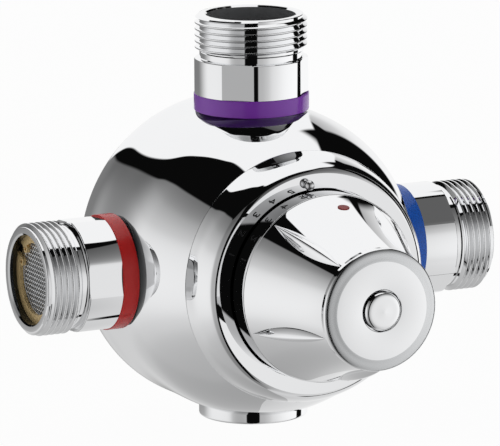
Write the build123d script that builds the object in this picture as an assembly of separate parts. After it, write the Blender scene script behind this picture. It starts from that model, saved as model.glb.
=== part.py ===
from build123d import *
import math
import os

os.makedirs("parts", exist_ok=True)

# All sizes in mm. Modelled with the three port axes crossing at the origin,
# then moved back so that the centre of the flat rear face is the origin.
PORT_BACK = 40.0
RUN = 0.05
SEAT = 0.02

# Body casting, turned about the knob axis
BODY_FRONT_Y = -41.0
BODY_FRONT_R = 47.5
BODY_SHOULDER_Y = -27.0
BODY_SHOULDER_R = 55.2
BODY_WAIST_Y = -15.0
BODY_WAIST_R = 58.3
BODY_MID_R = 58.6
BODY_SWELL_Y = 14.0
BODY_SWELL_R = 58.6
BODY_REAR_Y = 27.0
BODY_REAR_R = 58.3
BODY_EDGE_Y = 36.0
BODY_EDGE_R = 52.9
BACK_FLAT_R = 46.0

# Cartridge bore and galleries
BORE_R = 26.0
BORE_END_Y = 26.0
GALLERY_R = 36.0
GALLERY_IN_Y = 8.0
GALLERY_OUT_Y = 21.0
MIX_HALF_Y = 5.0

# Connectors, lengths measured from the port crossing
PORT_END = 92.2
THREAD_R = 20.955
THREAD_LEN = 14.0
THREAD_CHAMFER = 1.5
NECK_R = 19.2
NECK_LEN = 2.3
WRENCH_R = 21.2
WRENCH_FLATS = 40.6
WRENCH_BASE = 62.6
RING_R = 21.45
RING_SEAT = 56.2
RING_CORE_R = 18.5
SPIGOT_END = 40.0
SOCKET_END = 38.0
MOUTH_R = 16.65
MOUTH_END = 85.5
FLOW_R = 14.2
GROOVE_LOW = 87.6
GROOVE_HIGH = 89.0
GROOVE_R = 17.6
SEAL_S = 46.0
SEAL_W = 2.4
SEAL_IN_R = 17.1
OUTLET_FLAT_ANGLE = 230.0
HOT_FLAT_ANGLE = 4.0
COLD_FLAT_ANGLE = 47.5

# Strainer and circlip
STRAINER_R = 16.6
STRAINER_RIM_R = 13.4
STRAINER_T = 2.0
MESH_T = 0.6
MESH_BAR = 0.9
MESH_PITCH = 3.3
CLIP_T = 1.2
CLIP_OUT_R = 17.4
CLIP_IN_R = 13.4
CLIP_GAP_ANGLE = 55.0
LUG_R = 1.7
LUG_HOLE_R = 0.8
LUG_SPREAD = 15.0

# Check valves
CV_R = 14.15
CV_FRONT = 84.0
CV_BACK = 58.0
CV_BORE_R = 11.5
CV_SEAT_S = 78.0
CV_SEAT_R = 8.0
POPPET_R = 9.6
POPPET_T = 2.5
STEM_R = 2.0
GUIDE_T = 3.0
STEM_TAIL = 1.0
CV_SPRING_R = 5.0
CV_WIRE_R = 0.5

# Bottom plug
PLUG_SEAT = 54.0
PLUG_FACE = 60.0
PLUG_R = 20.35
PLUG_CHAMFER = 0.8
PLUG_SPIGOT_R = 17.0
PLUG_SPIGOT_END = 43.0
PLUG_BORE_END = 42.0

# Bezel
BEZEL_OUT_R = 47.1
BEZEL_FACE_R = 44.3
BEZEL_FACE_Y = -55.2
BEZEL_INNER_Y = -55.0
BEZEL_IN_R = 35.7
BEZEL_BOSS_R = 39.0
BEZEL_BOSS_Y = -44.0
STUD_R = 1.9
STUD_PIN_R = 1.0
STUD_RADIUS = 37.7
STUD_ANGLE = 96.6

# Cartridge
SLEEVE_FRONT_Y = -30.0
SLEEVE_IN_R = 18.0
SLEEVE_WALL_Y = 22.5
SLEEVE_DRAIN_R = 4.0
WINDOW_COUNT = 6
PORT_WINDOW_Y = 14.5
PORT_WINDOW_H = 7.0
MIX_WINDOW_H = 8.0
WINDOW_W = 9.0
LAND_SEAL_Y = 6.5
END_SEAL_Y = 23.5
LAND_SEAL_W = 1.6
LAND_SEAL_IN_R = 24.6
SHUTTLE_HALF_Y = 12.0
SHUTTLE_IN_R = 14.5
SPIDER_FRONT_Y = -6.0
SPIDER_T = 3.0
ELEMENT_R = 6.5
ELEMENT_END_Y = 13.0
ELEMENT_FLANGE_R = 9.0
ELEMENT_FLANGE_T = 2.0
ELEMENT_GUIDE_R = 5.0
ELEMENT_GUIDE_Y = -16.0
ELEMENT_PIN_R = 2.0
SPRING_R = 10.0
SPRING_WIRE_R = 1.0

# Bonnet, spindle and adjusting cup
BONNET_FLANGE_R = 31.5
BONNET_FLANGE_Y = -46.0
BONNET_NOSE_R = 15.0
BONNET_NOSE_Y = -50.0
BONNET_CAVITY_Y = -42.0
BONNET_CAVITY_R = 13.5
SPINDLE_R = 6.0
SPINDLE_FRONT_Y = -78.0
COLLAR_R = 9.5
COLLAR_BACK_Y = -39.0
SPINDLE_SCREW_R = 8.0
SPINDLE_BACK_Y = -26.0
CUP_R = 13.0
CUP_FRONT_Y = -34.0
CUP_FLOOR_Y = -22.0
CUP_BACK_Y = -19.0
LUG_W = 5.0
LUG_OUT_R = 16.3
CUP_LUG_FRONT_Y = -33.0
CUP_LUG_BACK_Y = -29.0

# Stop ring
STOP_OUT_R = 27.0
STOP_RIM_R = 23.0
STOP_BASE_Y = -47.5
STOP_TOP_Y = -52.0
STOP_MID_ANGLE = 231.5
STOP_GAP = 107.0

# Knob
SKIRT_R = 35.0
SKIRT_BACK_Y = -45.0
SKIRT_FRONT_Y = -64.3
BELL_R = 34.4
BELL_BACK_Y = -64.8
BELL_FRONT_Y = -102.6
CAP_R = 22.5
BELL_SAG = 1.0
WALL = 2.6
RIDGES = 5
RIDGE_PHASE = 59.0
RIDGE_TOP = 1.8
RIDGE_HALF_W = 1.9
RIDGE_DEPTH = 2.2
PLATE_BACK_Y = -95.0
PLATE_FRONT_Y = -98.0
HUB_R = 9.6
HUB_BACK_Y = -50.4
WEB_FRONT_Y = -80.0
COUNTER_R = 8.1
RIB_T = 3.0
RIB_IN_R = 23.6
RIB_BACK_Y = -48.0
RIB_FRONT_Y = -60.0
RIB_ANGLE = 270.0

# Cap, button and knob screw
CAP_SPIGOT_R = 18.5
CAP_SIDE_Y = -104.6
CAP_FACE_R = 18.0
CAP_FACE_Y = -106.2
CAP_HOLE_R = 7.7
CAP_FLOOR_Y = -99.5
CAP_BOSS_R = 7.8
CAP_BOSS_Y = -90.0
BUTTON_R = 7.1
BUTTON_RIM_Y = -107.2
BUTTON_DOME_Y = -108.3
BUTTON_HEAD_Y = -104.0
BUTTON_STEM_R = 5.0
BUTTON_END_Y = -88.0
BUTTON_TRAVEL = 2.0
BUTTON_SPRING_R = 6.2
BUTTON_WIRE_R = 0.35
BUTTON_CLIP_T = 1.0
BUTTON_CLIP_R = 7.0
SCREW_R = 2.5
SCREW_HEAD_R = 4.6
SCREW_HEAD_T = 4.0
SCREW_END_Y = -67.0
SCREW_HEX = 4.0


def turned_y(points):
    outline = Polyline([(r, y, 0) for r, y in points], close=True)
    return revolve(make_face(outline), Axis.Y)


def turned_z(points):
    outline = Polyline([(r, 0, s) for r, s in points], close=True)
    return revolve(make_face(outline), Axis.Z)


def ring_y(r_in, r_out, y0, y1):
    return turned_y([(r_in, y0), (r_out, y0), (r_out, y1), (r_in, y1)])


def rod_y(r, y0, y1):
    return Pos(0, (y0 + y1) / 2, 0) * Rot(90, 0, 0) * Cylinder(r, abs(y1 - y0))


def ring_z(r_in, r_out, s0, s1):
    return turned_z([(r_in, s0), (r_out, s0), (r_out, s1), (r_in, s1)])


def rod_z(r, s0, s1):
    return Pos(0, 0, (s0 + s1) / 2) * Cylinder(r, abs(s1 - s0))


def box_at(x0, x1, y0, y1, z0, z1):
    size = Box(abs(x1 - x0), abs(y1 - y0), abs(z1 - z0))
    return Pos((x0 + x1) / 2, (y0 + y1) / 2, (z0 + z1) / 2) * size


def coil_z(radius, wire, low, high, turns):
    height = high - low - 2 * wire
    path = Helix(pitch=height / turns, height=height, radius=radius)
    section = Plane(origin=path @ 0, z_dir=path % 0) * Circle(wire)
    return Pos(0, 0, low + wire) * sweep(section, path=path, is_frenet=True)


AIM = {
    "outlet": Rot(0, 0, 0),
    "hot": Rot(0, -90, 0),
    "cold": Rot(0, 90, 0),
    "plug": Rot(180, 0, 0),
}
HOME = Pos(0, -PORT_BACK, 0)


def save(name, shape):
    placed = HOME * shape
    export_step(placed, "parts/" + name + ".step")


# Body casting
def body_casting():
    curve = Spline(
        (BODY_FRONT_R, BODY_FRONT_Y, 0),
        (BODY_SHOULDER_R, BODY_SHOULDER_Y, 0),
        (BODY_WAIST_R, BODY_WAIST_Y, 0),
        (BODY_MID_R, 0, 0),
        (BODY_SWELL_R, BODY_SWELL_Y, 0),
        (BODY_REAR_R, BODY_REAR_Y, 0),
        (BODY_EDGE_R, BODY_EDGE_Y, 0),
        (BACK_FLAT_R, PORT_BACK, 0),
    )
    rest = Polyline(
        [
            (BACK_FLAT_R, PORT_BACK, 0),
            (0, PORT_BACK, 0),
            (0, BODY_FRONT_Y, 0),
            (BODY_FRONT_R, BODY_FRONT_Y, 0),
        ]
    )
    body = revolve(make_face(Curve() + [curve, rest]), Axis.Y)
    body += ring_y(BEZEL_BOSS_R - 3.0, BEZEL_BOSS_R, BEZEL_BOSS_Y, BODY_FRONT_Y)
    body -= rod_y(BORE_R, BODY_FRONT_Y - 1, BORE_END_Y)
    body -= rod_y(GALLERY_R, -GALLERY_OUT_Y, -GALLERY_IN_Y)
    body -= rod_y(GALLERY_R, GALLERY_IN_Y, GALLERY_OUT_Y)
    body -= rod_y(GALLERY_R, -MIX_HALF_Y, MIX_HALF_Y)
    for name in ("hot", "cold", "outlet"):
        body -= AIM[name] * rod_z(RING_R + 2 * RUN, RING_SEAT, PORT_END)
        body -= AIM[name] * rod_z(RING_CORE_R, SOCKET_END, PORT_END)
    body -= AIM["plug"] * rod_z(PLUG_R + 2 * RUN, PLUG_SEAT, PORT_END)
    body -= AIM["plug"] * rod_z(PLUG_SPIGOT_R + RUN, PLUG_BORE_END, PORT_END)
    side = 9.0
    reach = GALLERY_R - 4.0
    side_end = SOCKET_END + 1
    low = GALLERY_IN_Y
    high = GALLERY_OUT_Y - 1.0
    body -= box_at(-side_end, -reach, -high, -low, -side, side)
    body -= box_at(reach, side_end, low, high, -side, side)
    mix = MIX_HALF_Y
    body -= box_at(-12, 12, -mix, mix, reach, SOCKET_END + 1)
    body -= box_at(-8, 8, -mix, mix, -PLUG_BORE_END - 1, -reach)
    return body


save("valve_body", body_casting())


# Connectors
def nipple(angle):
    end = PORT_END
    root = end - THREAD_LEN
    neck = root - NECK_LEN
    spigot = RING_CORE_R - RUN
    outer = turned_z(
        [
            (0, SPIGOT_END),
            (spigot - 0.8, SPIGOT_END),
            (spigot, SPIGOT_END + 0.8),
            (spigot, WRENCH_BASE),
            (WRENCH_R, WRENCH_BASE),
            (WRENCH_R, neck - 0.6),
            (WRENCH_R - 0.6, neck),
            (NECK_R, neck),
            (NECK_R, root),
            (THREAD_R, root + (THREAD_R - NECK_R) * 0.6),
            (THREAD_R, end - THREAD_CHAMFER),
            (THREAD_R - THREAD_CHAMFER * 0.9, end),
            (0, end),
        ]
    )
    for k in range(4):
        depth = 4.0
        cut = Box(depth, 3 * WRENCH_R, neck - WRENCH_BASE + SEAT)
        mid = (neck + WRENCH_BASE) / 2
        outer -= Rot(0, 0, angle + 90 * k) * Pos(WRENCH_FLATS / 2 + depth / 2, 0, mid) * cut
    outer -= rod_z(FLOW_R, SPIGOT_END - 1, end + 1)
    outer -= rod_z(MOUTH_R, MOUTH_END, end + 1)
    outer -= ring_z(SEAL_IN_R, RING_CORE_R + 1, SEAL_S - SEAL_W / 2, SEAL_S + SEAL_W / 2)
    return outer


def inlet_nipple(angle):
    return nipple(angle) - rod_z(GROOVE_R, GROOVE_LOW, GROOVE_HIGH) - rod_z(FLOW_R, CV_BACK - 2, CV_FRONT)


def colour_ring():
    body = ring_z(RING_CORE_R, RING_R, RING_SEAT + SEAT, WRENCH_BASE - SEAT)
    edge = body.edges().filter_by(GeomType.CIRCLE).group_by(Axis.Z)[-1].sort_by(SortBy.LENGTH)[-1]
    return chamfer(edge, 0.4)


def socket_seal():
    half = SEAL_W / 2 - SEAT
    return ring_z(SEAL_IN_R + SEAT, RING_CORE_R - SEAT, SEAL_S - half, SEAL_S + half)


def strainer():
    low = MOUTH_END + SEAT
    rim = ring_z(STRAINER_RIM_R, STRAINER_R, low, low + STRAINER_T)
    mesh_low = low + STRAINER_T - MESH_T
    mesh = None
    count = int(STRAINER_RIM_R / MESH_PITCH)
    for turn in (0, 90):
        for i in range(-count, count + 1):
            bar = Rot(0, 0, turn + 45) * box_at(
                i * MESH_PITCH - MESH_BAR / 2,
                i * MESH_PITCH + MESH_BAR / 2,
                -STRAINER_R,
                STRAINER_R,
                mesh_low,
                mesh_low + MESH_T,
            )
            mesh = bar if mesh is None else mesh + bar
    inner = mesh & rod_z(STRAINER_RIM_R + 0.5, mesh_low - 1, mesh_low + 2)
    return rim + inner


def circlip():
    low = GROOVE_LOW + 0.1
    clip = ring_z(CLIP_IN_R, CLIP_OUT_R, low, low + CLIP_T)
    wedge = Rot(0, 0, CLIP_GAP_ANGLE) * box_at(0, 20, -2.6, 2.6, low - 1, low + CLIP_T + 1)
    clip -= wedge
    for side in (-1, 1):
        spot = Rot(0, 0, CLIP_GAP_ANGLE + side * LUG_SPREAD) * Pos(CLIP_IN_R - 0.4, 0, 0)
        clip += spot * rod_z(LUG_R, low, low + CLIP_T)
    for side in (-1, 1):
        spot = Rot(0, 0, CLIP_GAP_ANGLE + side * LUG_SPREAD) * Pos(CLIP_IN_R - 0.5, 0, 0)
        clip -= spot * rod_z(LUG_HOLE_R, low - 1, low + CLIP_T + 1)
    return clip


def check_housing():
    shell = turned_z(
        [
            (CV_BORE_R, CV_BACK),
            (CV_R, CV_BACK),
            (CV_R, CV_FRONT),
            (CV_SEAT_R + 2.0, CV_FRONT),
            (CV_SEAT_R, CV_FRONT - 3.0),
            (CV_SEAT_R, CV_SEAT_S),
            (CV_BORE_R, CV_SEAT_S),
        ]
    )
    guide = rod_z(CV_BORE_R + 0.5, CV_BACK, CV_BACK + GUIDE_T)
    guide -= rod_z(STEM_R + RUN, CV_BACK - 1, CV_BACK + GUIDE_T + 1)
    for k in range(4):
        guide -= Rot(0, 0, 90 * k) * Pos(8.6, 0, 0) * rod_z(2.4, CV_BACK - 1, CV_BACK + GUIDE_T + 1)
    return shell + guide


def poppet():
    top = CV_SEAT_S - SEAT
    return turned_z(
        [
            (0, CV_BACK - STEM_TAIL),
            (STEM_R, CV_BACK - STEM_TAIL),
            (STEM_R, top - POPPET_T),
            (POPPET_R, top - POPPET_T),
            (POPPET_R, top - 0.4),
            (CV_SEAT_R - 0.3, top),
            (CV_SEAT_R - 2.0, top + 1.6),
            (0, top + 2.2),
        ]
    )


def check_spring():
    low = CV_BACK + GUIDE_T + SEAT
    return coil_z(CV_SPRING_R, CV_WIRE_R, low, CV_SEAT_S - POPPET_T - 2 * SEAT, 4)


save("outlet_nipple", AIM["outlet"] * nipple(OUTLET_FLAT_ANGLE))
save("outlet_ring", AIM["outlet"] * colour_ring())
save("outlet_seal", AIM["outlet"] * socket_seal())
INLET_FLATS = {"hot": HOT_FLAT_ANGLE, "cold": COLD_FLAT_ANGLE}
for port, flat_angle in INLET_FLATS.items():
    save(port + "_nipple", AIM[port] * inlet_nipple(flat_angle))
    save(port + "_ring", AIM[port] * colour_ring())
    save(port + "_seal", AIM[port] * socket_seal())
    save(port + "_strainer", AIM[port] * strainer())
    save(port + "_circlip", AIM[port] * circlip())
    save(port + "_check_housing", AIM[port] * check_housing())
    save(port + "_check_poppet", AIM[port] * poppet())
    save(port + "_check_spring", AIM[port] * check_spring())

# Bottom plug
plug_groove = SEAL_IN_R - 1.4
plug = turned_z(
    [
        (0, PLUG_SPIGOT_END),
        (PLUG_SPIGOT_R, PLUG_SPIGOT_END),
        (PLUG_SPIGOT_R, PLUG_SEAT + SEAT),
        (PLUG_R, PLUG_SEAT + SEAT),
        (PLUG_R, PLUG_FACE - PLUG_CHAMFER),
        (PLUG_R - PLUG_CHAMFER, PLUG_FACE),
        (0, PLUG_FACE),
    ]
)
plug -= ring_z(plug_groove, PLUG_R, SEAL_S - SEAL_W / 2, SEAL_S + SEAL_W / 2)
save("bottom_plug", AIM["plug"] * plug)
plug_half = SEAL_W / 2 - SEAT
plug_ring = ring_z(plug_groove + SEAT, PLUG_SPIGOT_R + SEAT, SEAL_S - plug_half, SEAL_S + plug_half)
save("plug_seal", AIM["plug"] * plug_ring)

# Bezel and index stud
bezel = turned_y(
    [
        (BEZEL_BOSS_R + RUN, BODY_FRONT_Y - SEAT),
        (BEZEL_OUT_R, BODY_FRONT_Y - SEAT),
        (BEZEL_OUT_R - 0.2, BODY_FRONT_Y - 4.0),
        (BEZEL_OUT_R - 0.7, BEZEL_FACE_Y + 4.2),
        (BEZEL_FACE_R + 1.1, BEZEL_FACE_Y + 1.2),
        (BEZEL_FACE_R, BEZEL_FACE_Y),
        (BEZEL_IN_R, BEZEL_INNER_Y),
        (BEZEL_IN_R, BEZEL_BOSS_Y - SEAT),
        (BEZEL_BOSS_R + RUN, BEZEL_BOSS_Y - SEAT),
    ]
)
stud_x = STUD_RADIUS * math.cos(math.radians(STUD_ANGLE))
stud_z = STUD_RADIUS * math.sin(math.radians(STUD_ANGLE))
bezel -= Pos(stud_x, 0, stud_z) * rod_y(STUD_PIN_R + RUN, BEZEL_FACE_Y - 1, BEZEL_FACE_Y + 4)
save("bezel_ring", bezel)
stud = Pos(0, BEZEL_FACE_Y - STUD_R + 0.1, 0) * Sphere(STUD_R)
stud += rod_y(STUD_PIN_R, BEZEL_FACE_Y - STUD_R, BEZEL_FACE_Y + 3.8)
save("index_stud", Pos(stud_x, 0, stud_z) * stud)

# Cartridge sleeve and its seals
sleeve_out = BORE_R - RUN
sleeve = turned_y(
    [
        (SLEEVE_IN_R, SLEEVE_FRONT_Y),
        (sleeve_out, SLEEVE_FRONT_Y),
        (sleeve_out, BORE_END_Y - SEAT),
        (SLEEVE_DRAIN_R, BORE_END_Y - SEAT),
        (SLEEVE_DRAIN_R, SLEEVE_WALL_Y),
        (SLEEVE_IN_R, SLEEVE_WALL_Y),
    ]
)
for k in range(WINDOW_COUNT):
    turn = Rot(0, 360 / WINDOW_COUNT * k, 0)
    for mid, height in (
        (-PORT_WINDOW_Y, PORT_WINDOW_H),
        (0, MIX_WINDOW_H),
        (PORT_WINDOW_Y, PORT_WINDOW_H),
    ):
        half = WINDOW_W / 2
        sleeve -= turn * box_at(-half, half, mid - height / 2, mid + height / 2, 12, 30)
seal_rows = {"front": -END_SEAL_Y, "hot": -LAND_SEAL_Y, "cold": LAND_SEAL_Y, "rear": END_SEAL_Y}
for name, mid in seal_rows.items():
    half = LAND_SEAL_W / 2
    sleeve -= ring_y(LAND_SEAL_IN_R, BORE_R + 1, mid - half, mid + half)
    half = half - SEAT
    save("sleeve_seal_" + name, ring_y(LAND_SEAL_IN_R + SEAT, BORE_R - SEAT, mid - half, mid + half))
save("cartridge_sleeve", sleeve)

# Shuttle, wax element and return spring
shuttle_r = SLEEVE_IN_R - RUN
shuttle = ring_y(SHUTTLE_IN_R, shuttle_r, -SHUTTLE_HALF_Y, SHUTTLE_HALF_Y)
spider_back = SPIDER_FRONT_Y + SPIDER_T
spider = ring_y(ELEMENT_R + RUN, SHUTTLE_IN_R + 0.5, SPIDER_FRONT_Y, spider_back)
for k in range(WINDOW_COUNT):
    turn = Rot(0, 360 / WINDOW_COUNT * k, 0)
    spider -= turn * Pos(0, 0, 11.9) * rod_y(1.9, SPIDER_FRONT_Y - 1, spider_back + 1)
    shuttle -= turn * box_at(-4, 4, spider_back + 1, SHUTTLE_HALF_Y - 5, 10, 25)
save("shuttle", shuttle + spider)
element = turned_y(
    [
        (0, CUP_BACK_Y + SEAT),
        (ELEMENT_PIN_R, CUP_BACK_Y + SEAT),
        (ELEMENT_PIN_R, ELEMENT_GUIDE_Y),
        (ELEMENT_GUIDE_R, ELEMENT_GUIDE_Y),
        (ELEMENT_GUIDE_R, SPIDER_FRONT_Y - ELEMENT_FLANGE_T),
        (ELEMENT_FLANGE_R, SPIDER_FRONT_Y - ELEMENT_FLANGE_T),
        (ELEMENT_FLANGE_R, SPIDER_FRONT_Y - SEAT),
        (ELEMENT_R, SPIDER_FRONT_Y - SEAT),
        (ELEMENT_R, ELEMENT_END_Y - 1.0),
        (ELEMENT_R - 1.0, ELEMENT_END_Y),
        (0, ELEMENT_END_Y),
    ]
)
save("wax_element", element)
spring = coil_z(SPRING_R, SPRING_WIRE_R, spider_back + SEAT, SLEEVE_WALL_Y - SEAT, 4)
save("return_spring", Rot(-90, 0, 0) * spring)

# Bonnet, spindle and adjusting cup
bonnet = turned_y(
    [
        (SPINDLE_R + RUN, BONNET_NOSE_Y),
        (BONNET_NOSE_R, BONNET_NOSE_Y),
        (BONNET_NOSE_R, BONNET_FLANGE_Y),
        (BONNET_FLANGE_R, BONNET_FLANGE_Y),
        (BONNET_FLANGE_R, BODY_FRONT_Y - SEAT),
        (BORE_R - RUN, BODY_FRONT_Y - SEAT),
        (BORE_R - RUN, SLEEVE_FRONT_Y - SEAT),
        (BONNET_CAVITY_R, SLEEVE_FRONT_Y - SEAT),
        (BONNET_CAVITY_R, BONNET_CAVITY_Y),
        (SPINDLE_R + RUN, BONNET_CAVITY_Y),
    ]
)
slot = LUG_W / 2 + RUN
bonnet -= box_at(-LUG_OUT_R - 0.2, LUG_OUT_R + 0.2, COLLAR_BACK_Y, SLEEVE_FRONT_Y + 1, -slot, slot)
save("bonnet", bonnet)
thread_clear = SPINDLE_SCREW_R + RUN
cup = turned_y(
    [
        (thread_clear, CUP_FRONT_Y),
        (CUP_R, CUP_FRONT_Y),
        (CUP_R, CUP_BACK_Y),
        (0, CUP_BACK_Y),
        (0, CUP_FLOOR_Y),
        (thread_clear, CUP_FLOOR_Y),
    ]
)
for low, high in ((-LUG_OUT_R, -CUP_R + 1), (CUP_R - 1, LUG_OUT_R)):
    cup += box_at(low, high, CUP_LUG_FRONT_Y, CUP_LUG_BACK_Y, -LUG_W / 2, LUG_W / 2)
save("adjusting_cup", cup)
screw_hole = SCREW_R + RUN
spindle = turned_y(
    [
        (screw_hole, SPINDLE_FRONT_Y),
        (SPINDLE_R - 0.5, SPINDLE_FRONT_Y),
        (SPINDLE_R, SPINDLE_FRONT_Y + 0.5),
        (SPINDLE_R, BONNET_CAVITY_Y + SEAT),
        (COLLAR_R, BONNET_CAVITY_Y + SEAT),
        (COLLAR_R, COLLAR_BACK_Y),
        (SPINDLE_SCREW_R, COLLAR_BACK_Y),
        (SPINDLE_SCREW_R, SPINDLE_BACK_Y),
        (0, SPINDLE_BACK_Y),
        (0, SCREW_END_Y + 1),
        (screw_hole, SCREW_END_Y + 1),
    ]
)
drive_flat = SPINDLE_R - 1.2
spindle -= box_at(-10, 10, SPINDLE_FRONT_Y - 1, BONNET_NOSE_Y - 6, drive_flat, 10)
save("spindle", spindle)

# Stop ring
stop = ring_y(BONNET_NOSE_R + RUN, STOP_OUT_R, STOP_BASE_Y, BONNET_FLANGE_Y - SEAT)
rim = ring_y(STOP_RIM_R, STOP_OUT_R, STOP_TOP_Y, STOP_BASE_Y + 0.5)
reach = 2 * STOP_OUT_R
half_gap = math.radians(STOP_GAP / 2)
sector = Polyline(
    [
        (0, 0, 0),
        (reach * math.cos(-half_gap), 0, reach * math.sin(-half_gap)),
        (reach, 0, 0),
        (reach * math.cos(half_gap), 0, reach * math.sin(half_gap)),
    ],
    close=True,
)
gap = extrude(make_face(sector), amount=40, both=True)
rim -= Rot(0, -STOP_MID_ANGLE, 0) * Pos(0, BONNET_FLANGE_Y, 0) * gap
save("stop_ring", stop + rim)


# Knob
def knob_ridge(angle):
    run = BELL_FRONT_Y - BELL_BACK_Y
    drop = BELL_R - CAP_R
    length = math.hypot(run, drop)
    half = length / 2
    slope = math.hypot(RIDGE_TOP, RIDGE_HALF_W)
    side_s = RIDGE_TOP / slope
    side_n = RIDGE_HALF_W / slope
    inset = RIDGE_HALF_W * side_s
    big = (half * half + inset * inset) / (2 * inset)
    fin = Box(2 * half, 12, RIDGE_DEPTH + 4.0)
    fin = Pos(0, 0, 4.0 - (RIDGE_DEPTH + 4.0) / 2) * fin
    tilt = math.degrees(math.atan2(RIDGE_HALF_W, RIDGE_TOP))
    for sign in (-1, 1):
        centre = Pos(0, sign * (RIDGE_HALF_W - big * side_s), -big * side_n)
        fin &= centre * Rot(sign * tilt, 0, 0) * Cylinder(big, 40)
    tip = Plane(
        origin=((BELL_R + CAP_R) / 2, (BELL_BACK_Y + BELL_FRONT_Y) / 2, 0),
        x_dir=(-drop, run, 0),
        z_dir=(-run, -drop, 0),
    )
    return Rot(0, -angle, 0) * (tip * fin)


def knob_shell():
    mid_r = (BELL_R + CAP_R) / 2
    mid_y = (BELL_BACK_Y + BELL_FRONT_Y) / 2
    length = math.hypot(BELL_FRONT_Y - BELL_BACK_Y, BELL_R - CAP_R)
    nr = (BELL_BACK_Y - BELL_FRONT_Y) / length
    ny = (CAP_R - BELL_R) / length
    sag = (mid_r - BELL_SAG * nr, mid_y - BELL_SAG * ny, 0)
    face = ThreePointArc((BELL_R, BELL_BACK_Y, 0), sag, (CAP_R, BELL_FRONT_Y, 0))
    inner = (mid_r - (BELL_SAG + WALL) * nr, mid_y - (BELL_SAG + WALL) * ny, 0)
    inner_front_r = CAP_R - WALL + 0.9
    back = ThreePointArc((inner_front_r, PLATE_BACK_Y, 0), inner, (BELL_R - WALL, BELL_BACK_Y, 0))
    rim = Polyline(
        [
            (CAP_R, BELL_FRONT_Y, 0),
            (CAP_SPIGOT_R, BELL_FRONT_Y, 0),
            (CAP_SPIGOT_R, PLATE_FRONT_Y, 0),
            (COUNTER_R, PLATE_FRONT_Y, 0),
            (COUNTER_R, WEB_FRONT_Y, 0),
            (SCREW_R + 0.3, WEB_FRONT_Y, 0),
            (SCREW_R + 0.3, SPINDLE_FRONT_Y - SEAT, 0),
            (SPINDLE_R + RUN, SPINDLE_FRONT_Y - SEAT, 0),
            (SPINDLE_R + RUN, HUB_BACK_Y, 0),
            (HUB_R, HUB_BACK_Y, 0),
            (HUB_R, PLATE_BACK_Y, 0),
            (inner_front_r, PLATE_BACK_Y, 0),
        ]
    )
    skirt = Polyline(
        [
            (BELL_R - WALL, BELL_BACK_Y, 0),
            (SKIRT_R - WALL, SKIRT_FRONT_Y, 0),
            (SKIRT_R - WALL, SKIRT_BACK_Y, 0),
            (SKIRT_R, SKIRT_BACK_Y, 0),
            (SKIRT_R, SKIRT_FRONT_Y, 0),
            (BELL_R, BELL_BACK_Y, 0),
        ]
    )
    shell = revolve(make_face(Curve() + [face, rim, back, skirt]), Axis.Y)
    hub_key = box_at(-4, 4, SPINDLE_FRONT_Y, HUB_BACK_Y - 8, drive_flat + RUN, SPINDLE_R + 1)
    shell += hub_key
    rib = box_at(RIB_IN_R, SKIRT_R - WALL + 0.6, RIB_FRONT_Y, RIB_BACK_Y, -RIB_T / 2, RIB_T / 2)
    shell += Rot(0, -RIB_ANGLE, 0) * rib
    for k in range(RIDGES):
        shell += knob_ridge(RIDGE_PHASE + 360 / RIDGES * k)
    return shell


save("knob_shell", knob_shell())
cap = turned_y(
    [
        (CAP_R, BELL_FRONT_Y - SEAT),
        (CAP_R, CAP_SIDE_Y),
        (CAP_R - 1.3, CAP_SIDE_Y - 1.0),
        (CAP_FACE_R, CAP_FACE_Y),
        (CAP_HOLE_R, CAP_FACE_Y),
        (CAP_HOLE_R, CAP_FLOOR_Y),
        (BUTTON_STEM_R + RUN, CAP_FLOOR_Y),
        (BUTTON_STEM_R + RUN, CAP_BOSS_Y),
        (CAP_BOSS_R, CAP_BOSS_Y),
        (CAP_BOSS_R, PLATE_FRONT_Y - SEAT),
        (CAP_SPIGOT_R - RUN, PLATE_FRONT_Y - SEAT),
        (CAP_SPIGOT_R - RUN, BELL_FRONT_Y - SEAT),
    ]
)
save("knob_cap", cap)
dome_r = BUTTON_R - 0.5
dome_rim_y = BUTTON_RIM_Y - 0.3
dome_h = dome_rim_y - BUTTON_DOME_Y
dome_ball = (dome_r * dome_r + dome_h * dome_h) / (2 * dome_h)
dome_mid_y = BUTTON_DOME_Y + dome_ball - math.sqrt(dome_ball**2 - dome_r**2 / 4)
dome = ThreePointArc((dome_r, dome_rim_y, 0), (dome_r / 2, dome_mid_y, 0), (0, BUTTON_DOME_Y, 0))
sides = Polyline(
    [
        (0, BUTTON_DOME_Y, 0),
        (0, BUTTON_END_Y, 0),
        (BUTTON_STEM_R, BUTTON_END_Y, 0),
        (BUTTON_STEM_R, BUTTON_HEAD_Y, 0),
        (BUTTON_R, BUTTON_HEAD_Y, 0),
        (BUTTON_R, BUTTON_RIM_Y, 0),
        (dome_r, dome_rim_y, 0),
    ]
)
button = revolve(make_face(Curve() + [dome, sides]), Axis.Y)
clip_groove = BUTTON_STEM_R - 0.7
clip_low = CAP_BOSS_Y + SEAT
button -= ring_y(clip_groove, BUTTON_STEM_R + 1, clip_low - SEAT, clip_low + BUTTON_CLIP_T + SEAT)
save("push_button", button)
save("button_clip", ring_y(clip_groove + SEAT, BUTTON_CLIP_R, clip_low, clip_low + BUTTON_CLIP_T))
button_coil = coil_z(BUTTON_SPRING_R, BUTTON_WIRE_R, BUTTON_HEAD_Y + SEAT, CAP_FLOOR_Y - SEAT, 3)
save("button_spring", Rot(-90, 0, 0) * button_coil)
head_back = WEB_FRONT_Y - SEAT
screw = rod_y(SCREW_HEAD_R, head_back - SCREW_HEAD_T, head_back) + rod_y(SCREW_R, head_back, SCREW_END_Y)
hexagon = Rot(90, 0, 0) * extrude(RegularPolygon(SCREW_HEX / 2, 6, major_radius=False), amount=2.2)
screw -= Pos(0, head_back - SCREW_HEAD_T + 2.2, 0) * hexagon
save("knob_screw", screw)
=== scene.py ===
import math

import bpy
from mathutils import Matrix, Vector


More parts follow.
